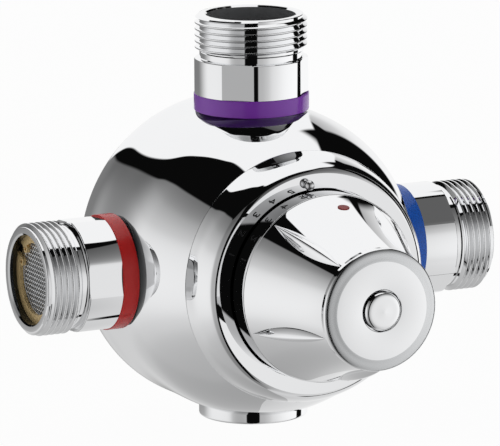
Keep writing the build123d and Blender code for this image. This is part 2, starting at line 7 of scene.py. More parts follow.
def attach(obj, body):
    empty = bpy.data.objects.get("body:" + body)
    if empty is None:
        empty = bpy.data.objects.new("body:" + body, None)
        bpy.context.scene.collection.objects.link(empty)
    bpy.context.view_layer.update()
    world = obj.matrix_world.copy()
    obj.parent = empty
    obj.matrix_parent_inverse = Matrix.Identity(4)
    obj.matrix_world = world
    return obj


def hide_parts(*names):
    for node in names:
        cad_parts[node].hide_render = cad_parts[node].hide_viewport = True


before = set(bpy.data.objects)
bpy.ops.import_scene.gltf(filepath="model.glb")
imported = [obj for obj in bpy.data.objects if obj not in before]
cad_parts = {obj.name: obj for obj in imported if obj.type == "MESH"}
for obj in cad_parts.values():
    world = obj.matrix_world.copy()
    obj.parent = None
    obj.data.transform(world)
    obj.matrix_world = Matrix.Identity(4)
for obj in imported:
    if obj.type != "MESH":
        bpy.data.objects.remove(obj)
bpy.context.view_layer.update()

mm = 0.001
portPlane = (0, -0.040, 0)  # where the three port axes cross

facing = {
    "outlet": (0, 0, 0),
    "hot": (0, math.radians(-90), 0),
    "cold": (0, math.radians(90), 0),
    "plug": (math.radians(180), 0, 0),
    "front": (math.radians(90), 0, 0),
}


def clearSelection():
    if bpy.context.object and bpy.context.object.mode != "OBJECT":
        bpy.ops.object.mode_set(mode="OBJECT")
    bpy.ops.object.select_all(action="DESELECT")


def pickOnly(piece):
    clearSelection()
    piece.select_set(True)
    bpy.context.view_layer.objects.active = piece


def applyPlace(piece, rotation=(0, 0, 0), location=(0, 0, 0)):
    pickOnly(piece)
    piece.rotation_euler = rotation
    piece.location = location
    bpy.ops.object.transform_apply(location=True, rotation=True, scale=True)


def standAt(piece, way):
    # from its own axis to its place on the valve
    applyPlace(piece, facing[way])
    applyPlace(piece, (0, 0, 0), portPlane)


def tidyMesh(piece, gap=0.002, sharpAngle=25):
    pickOnly(piece)
    bpy.ops.object.mode_set(mode="EDIT")
    bpy.ops.mesh.select_all(action="SELECT")
    bpy.ops.mesh.remove_doubles(threshold=gap * mm)
    bpy.ops.mesh.normals_make_consistent(inside=False)
    bpy.ops.object.mode_set(mode="OBJECT")
    bpy.ops.object.shade_smooth_by_angle(angle=math.radians(sharpAngle))


def drawOutline(name, points, closed=True):
    # one vertex, extruded from point to point in the XZ plane
    clearSelection()
    bpy.ops.mesh.primitive_plane_add(size=mm)
    piece = bpy.context.object
    piece.name = name
    bpy.ops.object.mode_set(mode="EDIT")
    bpy.ops.mesh.select_all(action="SELECT")
    bpy.ops.mesh.merge(type="CENTER")
    here = Vector((points[0][0] * mm, 0, points[0][1] * mm))
    bpy.ops.transform.translate(value=here)
    for r, z in points[1:]:
        there = Vector((r * mm, 0, z * mm))
        bpy.ops.mesh.extrude_region_move(TRANSFORM_OT_translate={"value": there - here})
        here = there
    bpy.ops.mesh.select_all(action="SELECT")
    bpy.ops.object.mode_set(mode="OBJECT")
    if closed:
        for vertex in piece.data.vertices:
            vertex.select = vertex.index in (0, len(points) - 1)
        for edge in piece.data.edges:
            edge.select = False
        bpy.ops.object.mode_set(mode="EDIT")
        bpy.ops.mesh.edge_face_add()
        bpy.ops.object.mode_set(mode="OBJECT")
    return piece


def turnPiece(name, points, steps=180, closed=True, sharpAngle=25):
    piece = drawOutline(name, points, closed)
    pickOnly(piece)
    bpy.ops.object.mode_set(mode="EDIT")
    bpy.ops.mesh.select_all(action="SELECT")
    bpy.ops.mesh.spin(steps=steps, angle=math.radians(360), center=(0, 0, 0), axis=(0, 0, 1))
    bpy.ops.object.mode_set(mode="OBJECT")
    tidyMesh(piece, sharpAngle=sharpAngle)
    return piece


def joinPieces(main, others):
    clearSelection()
    for other in others:
        other.select_set(True)
    main.select_set(True)
    bpy.context.view_layer.objects.active = main
    bpy.ops.object.join()
    return main


def cutAway(piece, cutter):
    pickOnly(piece)
    cut = piece.modifiers.new("cut", "BOOLEAN")
    cut.operation = "DIFFERENCE"
    cut.solver = "EXACT"
    cut.object = cutter
    bpy.ops.object.modifier_apply(modifier=cut.name)
    bpy.data.objects.remove(cutter, do_unlink=True)


def arc(centre, radius, start, end, count=6):
    # points of a rounded corner, angles in degrees from +r towards +z
    out = []
    for i in range(count + 1):
        a = math.radians(start + (end - start) * i / count)
        out.append((centre[0] + radius * math.cos(a), centre[1] + radius * math.sin(a)))
    return out


def naturalCurve(knots, count):
    # smooth line through a few knots, even in curvature so that chrome reflects without kinks
    lengths = [0.0]
    for a, b in zip(knots, knots[1:]):
        lengths.append(lengths[-1] + math.dist(a, b))
    n = len(knots)
    columns = []
    for axis in (0, 1):
        values = [k[axis] for k in knots]
        slope = [0.0] * n
        upper = [0.0] * n
        for i in range(1, n - 1):
            left = lengths[i] - lengths[i - 1]
            right = lengths[i + 1] - lengths[i]
            pull = 6 * ((values[i + 1] - values[i]) / right - (values[i] - values[i - 1]) / left)
            base = 2 * (left + right) - left * upper[i - 1]
            upper[i] = right / base
            slope[i] = (pull - left * slope[i - 1]) / base
        bend = [0.0] * n
        for i in range(n - 2, 0, -1):
            bend[i] = slope[i] - upper[i] * bend[i + 1]
        columns.append((values, bend))
    out = []
    for k in range(count + 1):
        s = lengths[-1] * k / count
        i = max(j for j in range(n - 1) if lengths[j] <= s + 1e-9)
        h = lengths[i + 1] - lengths[i]
        a = (lengths[i + 1] - s) / h
        b = 1 - a
        point = []
        for values, bend in columns:
            curve = ((a**3 - a) * bend[i] + (b**3 - b) * bend[i + 1]) * h * h / 6
            point.append(a * values[i] + b * values[i + 1] + curve)
        out.append(tuple(point))
    return out


# shader groups shared by several finishes
def newGroup(name, inputs, outputs):
    group = bpy.data.node_groups.new(name, "ShaderNodeTree")
    for label, kind, value in inputs:
        socket = group.interface.new_socket(label, in_out="INPUT", socket_type=kind)
        socket.default_value = value
    for label, kind in outputs:
        group.interface.new_socket(label, in_out="OUTPUT", socket_type=kind)
    start = group.nodes.new("NodeGroupInput")
    end = group.nodes.new("NodeGroupOutput")
    return group, start, end


def polishGroup():
    # faint cloudiness and hairline marks left by plating and handling
    group, start, end = newGroup(
        "platingHaze",
        [("Scale", "NodeSocketFloat", 60.0), ("Low", "NodeSocketFloat", 0.02),
         ("High", "NodeSocketFloat", 0.06)],
        [("Roughness", "NodeSocketFloat"), ("Height", "NodeSocketFloat")],
    )
    coords = group.nodes.new("ShaderNodeTexCoord")
    cloud = group.nodes.new("ShaderNodeTexNoise")
    cloud.inputs["Detail"].default_value = 4
    spread = group.nodes.new("ShaderNodeMapRange")
    spread.inputs["From Min"].default_value = 0.35
    spread.inputs["From Max"].default_value = 0.75
    ripple = group.nodes.new("ShaderNodeTexNoise")
    ripple.inputs["Scale"].default_value = 90
    ripple.inputs["Detail"].default_value = 1
    links = group.links
    links.new(coords.outputs["Object"], cloud.inputs["Vector"])
    links.new(coords.outputs["Object"], ripple.inputs["Vector"])
    links.new(start.outputs["Scale"], cloud.inputs["Scale"])
    links.new(cloud.outputs["Fac"], spread.inputs["Value"])
    links.new(start.outputs["Low"], spread.inputs["To Min"])
    links.new(start.outputs["High"], spread.inputs["To Max"])
    links.new(spread.outputs["Result"], end.inputs["Roughness"])
    links.new(ripple.outputs["Fac"], end.inputs["Height"])
    return group


def grainGroup():
    # fine pitted grain of moulded rubber and plastic
    group, start, end = newGroup(
        "mouldedGrain",
        [("Scale", "NodeSocketFloat", 900.0), ("Base", "NodeSocketColor", (0.5, 0.5, 0.5, 1)),
         ("Shade", "NodeSocketFloat", 0.15)],
        [("Color", "NodeSocketColor"), ("Height", "NodeSocketFloat")],
    )
    coords = group.nodes.new("ShaderNodeTexCoord")
    fine = group.nodes.new("ShaderNodeTexNoise")
    fine.inputs["Detail"].default_value = 3
    broad = group.nodes.new("ShaderNodeTexNoise")
    broad.inputs["Scale"].default_value = 45
    shade = group.nodes.new("ShaderNodeMapRange")
    shade.inputs["To Max"].default_value = 1.0
    dim = group.nodes.new("ShaderNodeMath")
    dim.operation = "SUBTRACT"
    dim.inputs[0].default_value = 1.0
    tint = group.nodes.new("ShaderNodeVectorMath")
    tint.operation = "SCALE"
    links = group.links
    links.new(coords.outputs["Object"], fine.inputs["Vector"])
    links.new(coords.outputs["Object"], broad.inputs["Vector"])
    links.new(start.outputs["Scale"], fine.inputs["Scale"])
    links.new(start.outputs["Shade"], dim.inputs[1])
    links.new(broad.outputs["Fac"], shade.inputs["Value"])
    links.new(dim.outputs["Value"], shade.inputs["To Min"])
    links.new(start.outputs["Base"], tint.inputs[0])
    links.new(shade.outputs["Result"], tint.inputs["Scale"])
    links.new(tint.outputs["Vector"], end.inputs["Color"])
    links.new(fine.outputs["Fac"], end.inputs["Height"])
    return group


def turningGroup():
    # close tool lines round an axis, as a lathe leaves them
    group, start, end = newGroup(
        "latheLines",
        [("Scale", "NodeSocketFloat", 700.0), ("Low", "NodeSocketFloat", 0.18),
         ("High", "NodeSocketFloat", 0.34)],
        [("Roughness", "NodeSocketFloat"), ("Height", "NodeSocketFloat")],
    )
    coords = group.nodes.new("ShaderNodeTexCoord")
    lines = group.nodes.new("ShaderNodeTexNoise")
    lines.inputs["Detail"].default_value = 2
    stretch = group.nodes.new("ShaderNodeVectorMath")
    stretch.operation = "MULTIPLY"
    stretch.inputs[1].default_value = (0.05, 1.0, 0.05)
    spread = group.nodes.new("ShaderNodeMapRange")
    links = group.links
    links.new(coords.outputs["Object"], stretch.inputs[0])
    links.new(stretch.outputs["Vector"], lines.inputs["Vector"])
    links.new(start.outputs["Scale"], lines.inputs["Scale"])
    links.new(lines.outputs["Fac"], spread.inputs["Value"])
    links.new(start.outputs["Low"], spread.inputs["To Min"])
    links.new(start.outputs["High"], spread.inputs["To Max"])
    links.new(spread.outputs["Result"], end.inputs["Roughness"])
    links.new(lines.outputs["Fac"], end.inputs["Height"])
    return group


platingHaze = polishGroup()
mouldedGrain = grainGroup()
latheLines = turningGroup()


def startFinish(name):
    material = bpy.data.materials.new(name)
    material.use_nodes = True
    nodes = material.node_tree.nodes
    return material, nodes, material.node_tree.links, nodes["Principled BSDF"]


def addGroup(nodes, group, values):
    node = nodes.new("ShaderNodeGroup")
    node.node_tree = group
    for label, value in values.items():
        node.inputs[label].default_value = value
    return node


def addBump(nodes, links, shader, height, strength, distance):
    bump = nodes.new("ShaderNodeBump")
    bump.inputs["Strength"].default_value = strength
    bump.inputs["Distance"].default_value = distance
    links.new(height, bump.inputs["Height"])
    links.new(bump.outputs["Normal"], shader.inputs["Normal"])


def metalFinish(name, colour, group, values, strength=0.02, distance=0.0001, metallic=1.0):
    material, nodes, links, shader = startFinish(name)
    shader.inputs["Base Color"].default_value = (*colour, 1)
    shader.inputs["Metallic"].default_value = metallic
    haze = addGroup(nodes, group, values)
    links.new(haze.outputs["Roughness"], shader.inputs["Roughness"])
    if strength:
        addBump(nodes, links, shader, haze.outputs["Height"], strength, distance)
    return material


def mouldedFinish(name, colour, rough, scale=900.0, shade=0.15, strength=0.1, coat=0.0, paintedReflection=None):
    material, nodes, links, shader = startFinish(name)
    shader.inputs["Roughness"].default_value = rough
    shader.inputs["Coat Weight"].default_value = coat
    shader.inputs["Coat Roughness"].default_value = 0.08
    grain = addGroup(nodes, mouldedGrain, {"Scale": scale, "Base": (*colour, 1), "Shade": shade})
    links.new(grain.outputs["Color"], shader.inputs["Base Color"])
    if paintedReflection:
        # painted reflection: rays from the chrome beside the piece see it in this darker colour instead of
        # its own
        path = nodes.new("ShaderNodeLightPath")
        mix = nodes.new("ShaderNodeMix")
        mix.data_type = "RGBA"
        mix.inputs[7].default_value = (*paintedReflection, 1)
        links.new(path.outputs["Is Glossy Ray"], mix.inputs[0])
        links.new(grain.outputs["Color"], mix.inputs[6])
        links.new(mix.outputs[2], shader.inputs["Base Color"])
    addBump(nodes, links, shader, grain.outputs["Height"], strength, 0.00003)
    return material


# colour, then scale, lowest and highest roughness of the polish
polish = {
    "chrome": ("chromePlate", (0.93, 0.935, 0.945), 40, 0.01, 0.02, 1.0),
    "knob": ("knobChrome", (0.94, 0.945, 0.955), 55, 0.012, 0.025, 1.0),
    # painted shade: darker metals for the inside of the mouths
    "bore": ("boreShadeMetal", (0.06, 0.065, 0.07), 60, 0.1, 0.2, 1.0),
    "outletBoreShade": ("outletBoreShadeMetal", (0.36, 0.365, 0.375), 60, 0.2, 0.3, 0.4),
    "capEdge": ("capEdgeSatin", (0.7, 0.71, 0.72), 60, 0.16, 0.24, 1.0),
    "stud": ("studMetal", (0.72, 0.725, 0.735), 60, 0.2, 0.28, 1.0),
    "wire": ("strainerWire", (0.95, 0.96, 0.97), 300, 0.14, 0.24, 1.0),
    "steel": ("springSteel", (0.55, 0.55, 0.56), 200, 0.2, 0.36, 1.0),
}
finish = {}
for look, (name, colour, scale, low, high, metallic) in polish.items():
    values = {"Scale": scale, "Low": low, "High": high}
    finish[look] = metalFinish(name, colour, platingHaze, values, 0, metallic=metallic)
finish["gold"] = metalFinish("circlipGold", (1.0, 0.74, 0.36), platingHaze,
                             {"Scale": 260, "Low": 0.28, "High": 0.4}, 0.05, metallic=0.4)
finish["brass"] = metalFinish("turnedBrass", (0.78, 0.6, 0.3), latheLines,
                              {"Scale": 700, "Low": 0.2, "High": 0.36}, 0.15, 0.00002)
# painted reflection: the purple and red rings show a darker colour to glossy rays
finish["purple"] = mouldedFinish("purpleRing", (0.4, 0.06, 0.8), 0.38, coat=0.45, strength=0.02,
                                 paintedReflection=(0.08, 0.015, 0.2))
finish["red"] = mouldedFinish("redRing", (1.0, 0.012, 0.01), 0.38, coat=0.2, strength=0.02,
                              paintedReflection=(0.012, 0.016, 0.02))
finish["blue"] = mouldedFinish("blueRing", (0.0, 0.15, 0.8), 0.38, coat=0.2, strength=0.02)
finish["rubber"] = mouldedFinish("sealRubber", (0.012, 0.012, 0.013), 0.55, strength=0.3)
finish["offWhite"] = mouldedFinish("offWhitePlastic", (0.72, 0.71, 0.66), 0.42, shade=0.1)
finish["darkPlastic"] = mouldedFinish("darkPlastic", (0.03, 0.03, 0.032), 0.4, shade=0.1)
finish["darkPrint"] = mouldedFinish("dialPrint", (0.004, 0.004, 0.005), 0.7, strength=0.02)
finish["redPrint"] = mouldedFinish("redPrint", (0.5, 0.02, 0.015), 0.3, strength=0.02)
print("finishes ready")


def dress(piece, look, body, replaces=()):
    piece.data.materials.clear()
    piece.data.materials.append(finish[look])
    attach(piece, body)
    if replaces:
        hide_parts(*replaces)


def dressNode(node, look):
    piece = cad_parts[node]
    while len(piece.data.materials) < 1:
        piece.data.materials.append(finish[look])
    for i in range(len(piece.data.materials)):
        piece.data.materials[i] = finish[look]


nodeLooks = {
    "rubber": ["outlet_seal", "hot_seal", "cold_seal", "plug_seal", "sleeve_seal_front", "sleeve_seal_hot",
               "sleeve_seal_cold", "sleeve_seal_rear"],
    "offWhite": ["stop_ring", "adjusting_cup"],
    "darkPlastic": ["shuttle", "hot_check_housing", "cold_check_housing", "hot_check_poppet",
                    "cold_check_poppet"],
    "steel": ["button_clip", "hot_check_spring", "cold_check_spring", "button_spring", "return_spring",
              "knob_screw"],
    "brass": ["cartridge_sleeve", "bonnet", "spindle", "wax_element"],
}
for look, names in nodeLooks.items():
    for name in names:
        dressNode(name, look)

bodySet = {
    "front": 41.0, "frontRadius": 47.15, "brow": (51.15, 34.0), "shoulder": (54.3, 27.0),
    "waist": (57.8, 15.0), "middle": (58.75, 0.0), "swell": (58.75, -14.0), "rear": (58.15, -27.0),
    "edge": (52.9, -36.0), "backFlat": (46.0, -40.0), "outlineSteps": 80,
    "bore": 26.0, "boreEnd": -26.0, "gallery": 36.0, "galleries": ((-21, -8), (-5, 5), (8, 21)),
    "collar": (36.0, 39.0, 44.0),  # inside radius, outside radius, front
    "socket": 18.2, "socketEnd": 38.0, "drillDepth": 40, "steps": 256,
    # centre and size of each passage from a socket to its gallery
    "passages": (((-36, -14, 0), (8, 12, 18)), ((36, 14, 0), (8, 12, 18)), ((0, 0, 36), (24, 10, 8))),
}


def makeBody():
    s = bodySet
    knots = [(s["frontRadius"], s["front"]), s["brow"], s["shoulder"], s["waist"], s["middle"], s["swell"],
             s["rear"], s["edge"], s["backFlat"]]
    outer = naturalCurve(knots, s["outlineSteps"])
    bore = [(0, s["backFlat"][1]), (0, s["boreEnd"]), (s["bore"], s["boreEnd"])]
    for low, high in s["galleries"]:
        bore += [(s["bore"], low), (s["gallery"], low), (s["gallery"], high), (s["bore"], high)]
    inside, outside, top = s["collar"]
    bore += [(s["bore"], s["front"]), (inside, s["front"]), (inside, top), (outside, top),
             (outside, s["front"])]
    piece = turnPiece("valveBodyShell", outer + bore, s["steps"], sharpAngle=20)
    applyPlace(piece, facing["front"])
    for port in ("outlet", "hot", "cold"):
        clearSelection()
        middle = (0, 0, (s["socketEnd"] + s["drillDepth"] / 2) * mm)
        bpy.ops.mesh.primitive_cylinder_add(vertices=48, radius=s["socket"] * mm,
                                            depth=s["drillDepth"] * mm, location=middle)
        drill = bpy.context.object
        applyPlace(drill, (0, 0, 0), drill.location)
        applyPlace(drill, facing[port])
        cutAway(piece, drill)
    for centre, size in s["passages"]:
        clearSelection()
        bpy.ops.mesh.primitive_cube_add(size=1, location=[c * mm for c in centre])
        passage = bpy.context.object
        passage.scale = [d * mm for d in size]
        applyPlace(passage, (0, 0, 0), passage.location)
        cutAway(piece, passage)
    applyPlace(piece, (0, 0, 0), portPlane)
    pickOnly(piece)
    bpy.ops.object.shade_smooth_by_angle(angle=math.radians(20))
    dress(piece, "chrome", "valve", ["valve_body"])


makeBody()
print("body ready")

connectorSet = {
    "end": 92.2, "threadLow": 78.2, "coreRadius": 19.48, "crestRadius": 20.95, "pitch": 2.309,
    "turns": 5.7, "turnSteps": 100, "firstRidge": 0.6,
    # half a ridge of the thread: height over the core, share of the pitch from its middle
    "flank": [(-0.12, 0.5), (0.02, 0.455), (0.17, 0.378), (1.31, 0.122), (1.43, 0.07)],
    # slope and length of the thread's two run-outs
    "mouthRunOut": (1.05, 1.35), "neckRunOut": (1.1, 0.4),
    "neckRadius": 19.2, "neckLow": 75.9, "wrenchRadius": 21.2, "wrenchFlat": 20.3, "wrenchLow": 62.6,
    "spigot": 18.45, "spigotEnd": 40.0, "mouth": 16.65, "mouthEnd": 85.5, "bore": 14.2,
    "groove": (17.6, 87.6, 89.0),  # radius, low edge, high edge
    "flatAngles": {"outlet": 230.0, "hot": 4.0, "cold": 47.5}, "steps": 216,
}


def makeThread(name):
    s = connectorSet
    p = s["pitch"]
    core = s["coreRadius"]
    low = s["threadLow"] + s["firstRidge"]
    half = [(core + rise, share) for rise, share in s["flank"]]
    ridge = [(r, low - share * p) for r, share in half] + [(s["crestRadius"], low)]
    ridge += [(r, low + share * p) for r, share in reversed(half)]
    piece = drawOutline(name, ridge)
    pickOnly(piece)
    screw = piece.modifiers.new("thread", "SCREW")
    screw.axis = "Z"
    screw.angle = math.radians(360 * s["turns"])
    screw.screw_offset = p * s["turns"] * mm
    screw.steps = int(s["turnSteps"] * s["turns"])
    screw.render_steps = screw.steps
    screw.use_normal_calculate = True
    bpy.ops.object.modifier_apply(modifier=screw.name)
    mouthSlope, mouthLength = s["mouthRunOut"]
    neckSlope, neckLength = s["neckRunOut"]
    for vertex in piece.data.vertices:
        x, y, z = vertex.co
        r = math.hypot(x, y) / mm
        h = z / mm
        atMouth = s["crestRadius"] - mouthSlope * max(0, h - s["end"] + mouthLength)
        atNeck = s["neckRadius"] + neckSlope * max(0, h - s["threadLow"] + neckLength)
        limit = min(r, atMouth, atNeck)
        limit = max(limit, s["neckRadius"] - 0.5)
        vertex.co = (x * limit / r, y * limit / r, min(z, (s["end"] - 0.05) * mm))
    pickOnly(piece)
    bpy.ops.object.mode_set(mode="EDIT")
    bpy.ops.mesh.select_all(action="DESELECT")
    bpy.ops.mesh.select_non_manifold(extend=False, use_wire=False, use_boundary=True, use_multi_face=False,
                                     use_non_contiguous=False, use_verts=False)
    bpy.ops.mesh.edge_face_add()
    bpy.ops.mesh.select_all(action="SELECT")
    bpy.ops.mesh.normals_make_consistent(inside=False)
    bpy.ops.object.mode_set(mode="OBJECT")
    bpy.ops.object.shade_smooth_by_angle(angle=math.radians(35))
    return piece


def makeConnector(port):
    s = connectorSet
    outline = [(s["bore"], s["spigotEnd"]), (s["spigot"] - 0.8, s["spigotEnd"]),
               (s["spigot"], s["spigotEnd"] + 0.8), (s["spigot"], s["wrenchLow"]),
               (s["wrenchRadius"], s["wrenchLow"])]
    outline += arc((s["wrenchRadius"] - 0.5, s["neckLow"] - 0.5), 0.5, 0, 90, 5)
    outline += [(s["neckRadius"] + 0.3, s["neckLow"]), (s["neckRadius"], s["neckLow"] + 0.3),
                (s["neckRadius"], s["threadLow"]), (s["coreRadius"], s["threadLow"] + 0.5),
                (s["coreRadius"], s["end"] - 0.5)]
    outline += arc((s["coreRadius"] - 0.45, s["end"] - 0.45), 0.45, 20, 90, 4)
    outline += [(s["mouth"] + 0.6, s["end"]), (s["mouth"], s["end"] - 0.6)]
    if port != "outlet":
        deep, low, high = s["groove"]
        outline += [(s["mouth"], high), (deep, high), (deep, low), (s["mouth"], low)]
    outline += [(s["mouth"], s["mouthEnd"]), (s["bore"], s["mouthEnd"])]
    piece = turnPiece(port + "Connector", outline, s["steps"], sharpAngle=10)
    for vertex in piece.data.vertices:
        x, y, z = vertex.co
        h = z / mm
        r = math.hypot(x, y) / mm
        if s["wrenchLow"] - 0.1 < h < s["neckLow"] + 0.1 and r > s["neckRadius"] + 0.5:
            turn = math.degrees(math.atan2(y, x)) - s["flatAngles"][port]
            off = (turn + 45) % 90 - 45
            flat = s["wrenchFlat"] / math.cos(math.radians(off))
            if flat < r:
                vertex.co = (x * flat / r, y * flat / r, z)
    pickOnly(piece)
    bpy.ops.object.shade_smooth_by_angle(angle=math.radians(10))
    piece = joinPieces(piece, [makeThread(port + "Thread")])
    standAt(piece, port)
    dress(piece, "chrome", "valve", [port + "_nipple"])
    # painted shade: the faces inside the mouth get a darker metal, standing in for the shade in the recess as
    # well as the thinner plating there
    piece.data.materials.append(finish["outletBoreShade" if port == "outlet" else "bore"])
    axis = {"outlet": 2, "hot": 0, "cold": 0}[port]
    for face in piece.data.polygons:
        away = face.center - Vector(portPlane)
        far = abs(away[axis])
        away[axis] = 0
        if away.length < (s["groove"][0] + 0.2) * mm and far < (s["end"] - 0.3) * mm:
            face.material_index = 1


for port in ("outlet", "hot", "cold"):
    makeConnector(port)
print("connectors ready")

ringSet = {"radius": 21.45, "inside": 18.5, "low": 56.22, "high": 62.58, "edge": 0.35}


def makeRing(port, look):
    s = ringSet
    outline = [(s["inside"], s["low"])]
    outline += arc((s["radius"] - s["edge"], s["low"] + s["edge"]), s["edge"], -90, 0, 4)
    outline += arc((s["radius"] - s["edge"], s["high"] - s["edge"]), s["edge"], 0, 90, 4)
    outline += [(s["inside"], s["high"])]
    piece = turnPiece(port + "ColourRing", outline, 160)
    standAt(piece, port)
    dress(piece, look, "valve", [port + "_ring"])


makeRing("outlet", "purple")
makeRing("hot", "red")
makeRing("cold", "blue")

plugSet = {"radius": 20.35, "face": 60.0, "low": 54.02, "edge": 0.9, "spigot": 17.0, "spigotEnd": 43.0}


def makePlug():
    s = plugSet
    outline = [(0, s["spigotEnd"]), (s["spigot"], s["spigotEnd"]), (s["spigot"], s["low"]),
               (s["radius"], s["low"])]
    outline += arc((s["radius"] - s["edge"], s["face"] - s["edge"]), s["edge"], 0, 90, 6)
    outline += [(0, s["face"])]
    piece = turnPiece("bottomPlugTurned", outline, 160, sharpAngle=20)
    standAt(piece, "plug")
    dress(piece, "chrome", "valve", ["bottom_plug"])


makePlug()

bezelSet = {"rim": [(46.7, 43.2), (46.2, 45.8), (45.4, 48.8), (44.2, 51.8), (42.9, 53.9), (41.8, 54.9)],
            "outer": 47.1, "face": (41.2, 55.2), "inner": (35.7, 55.0), "back": 41.02, "boss": (39.05, 44.02)}


def makeBezel():
    s = bezelSet
    outline = [(s["boss"][0], s["back"]), (s["outer"], s["back"])]
    outline += naturalCurve([(s["outer"], s["back"] + 0.1)] + s["rim"], 40)
    outline += [s["face"], s["inner"]]
    outline += [(s["inner"][0], s["boss"][1]), s["boss"]]
    piece = turnPiece("bezelTurned", outline, 256, sharpAngle=20)
    standAt(piece, "front")
    dress(piece, "chrome", "valve", ["bezel_ring"])


makeBezel()

studSet = {"radius": 1.9, "pin": 1.0, "pinDepth": 3.8, "sink": 0.1, "ring": 37.7, "angle": 96.6, "face": 55.2}


def makeStud():
    s = studSet
    centre = s["face"] + s["radius"] - s["sink"]
    ball = arc((0, centre), s["radius"], 90, -58, 18)
    outline = ball + [(s["pin"], s["face"] - s["pinDepth"]), (0, s["face"] - s["pinDepth"])]
    piece = turnPiece("indexStudTurned", outline, 64, sharpAngle=40)
    angle = math.radians(s["angle"])
    applyPlace(piece, (0, 0, 0), (s["ring"] * math.cos(angle) * mm, s["ring"] * math.sin(angle) * mm, 0))
    standAt(piece, "front")
    dress(piece, "stud", "valve", ["index_stud"])


makeStud()
print("bezel ready")

knobSet = {
    "skirt": 35.0, "skirtBack": 45.0, "skirtFront": 64.3, "base": (34.4, 64.8), "top": (22.5, 102.6),
    "sag": 1.0, "wall": 2.6, "ridges": 5, "phase": 59.0, "ridgeTop": 1.8, "ridgeHalf": 2.8,
    "ridgeRows": 60, "ridgeAround": 24,
    # how full the ridge's flanks are, how sharply they fall, how deep it reaches under the bell
    "ridgeFull": 1.12, "ridgeFall": 1.6, "ridgeUnder": 1.25,
    "spigot": 18.5, "plateFront": 98.0, "plateBack": 95.0, "hub": 9.6, "hubBack": 50.4,
    "counter": 8.1, "webFront": 80.0, "webBack": 78.02, "screwHole": 2.8, "spindleHole": 6.05, "steps": 240,
}


def bellFacing(s):
    # outward direction of the bell's straight line from base to top
    (r0, h0), (r1, h1) = s["base"], s["top"]
    length = math.dist(s["base"], s["top"])
    return (h1 - h0) / length, (r0 - r1) / length


def bellLine(s, extra=0.0, count=28):
    # a shallow hollow arc from the bell's base to its top
    (r0, h0), (r1, h1) = s["base"], s["top"]
    nr, nh = bellFacing(s)
    out = []
    for i in range(count + 1):
        t = i / count
        dip = s["sag"] * 4 * t * (1 - t) + extra
        out.append((r0 + (r1 - r0) * t - dip * nr, h0 + (h1 - h0) * t - dip * nh))
    return out


def makeRidge(s, angle, index):
    (r0, h0), (r1, h1) = s["base"], s["top"]
    nr, nh = bellFacing(s)
    rows, around = s["ridgeRows"], s["ridgeAround"]
    c, n = math.cos(math.radians(angle)), math.sin(math.radians(angle))
    clearSelection()
    bpy.ops.mesh.primitive_grid_add(x_subdivisions=around, y_subdivisions=rows, size=mm)
    piece = bpy.context.object
    piece.name = "ridge" + str(index)
    deep = s["ridgeTop"] + s["sag"]
    for vertex in piece.data.vertices:
        i = round((vertex.co.x / mm + 0.5) * around)
        j = round((vertex.co.y / mm + 0.5) * rows)
        t = j / rows
        q = 4 * t * (1 - t)
        a = 2 * math.pi * (i % around) / around
        # section: two flanks meeting at a softly rounded crest, closed below the bell's surface
        side = math.sin(a)
        rise = math.cos(a)
        if rise >= 0:
            up = (s["ridgeTop"] - deep * s["ridgeFull"] * abs(side) ** s["ridgeFall"]) * q
        else:
            up = (s["ridgeTop"] - deep * s["ridgeUnder"]) * q
        wide = s["ridgeFull"] if rise >= 0 or abs(side) > 0.5 else 1.0
        across = s["ridgeHalf"] * wide * q * side
        r = r0 + (r1 - r0) * t + up * nr
        h = h0 + (h1 - h0) * t + up * nh
        vertex.co = Vector(((r * c - across * n) * mm, (r * n + across * c) * mm, h * mm))
    tidyMesh(piece, sharpAngle=60)
    return piece


def makeKnob():
    s = knobSet
    inner = list(reversed(bellLine(s, s["wall"], 10)))
    outline = [(s["skirt"] - s["wall"], s["skirtBack"])]
    outline += arc((s["skirt"] - 0.3, s["skirtBack"] + 0.3), 0.3, -90, 0, 3)
    outline += arc((s["skirt"] - 0.4, s["skirtFront"] - 0.4), 0.4, 0, 80, 4)
    outline += bellLine(s)
    outline += [(s["spigot"], s["top"][1]), (s["spigot"], s["plateFront"]), (s["counter"], s["plateFront"]),
                (s["counter"], s["webFront"]), (s["screwHole"], s["webFront"]),
                (s["screwHole"], s["webBack"]), (s["spindleHole"], s["webBack"]),
                (s["spindleHole"], s["hubBack"]), (s["hub"], s["hubBack"]), (s["hub"], s["plateBack"])]
    outline += [point for point in inner if point[1] < s["plateBack"] - 0.5]
    piece = turnPiece("knobShellTurned", outline, s["steps"], sharpAngle=14)
    ridges = [makeRidge(s, s["phase"] + 360 / s["ridges"] * k, k) for k in range(s["ridges"])]
    piece = joinPieces(piece, ridges)
    standAt(piece, "front")
    dress(piece, "knob", "knob", ["knob_shell"])


makeKnob()

dialSet = {
    "radius": 35.04, "height": 4.0, "fontSize": 5.52, "centre": 59.5, "thick": 0.03,
    "numbers": [("5", 104.0), ("4", 117.0), ("3", 130.0), ("2", 144.0), ("1", 158.0)],
    # degrees round, height, radius and squatness of the red dot, and how much further it leans back
    "dot": (86.5, 72.0, 2.3, 0.72), "dotLean": 1.1,
}


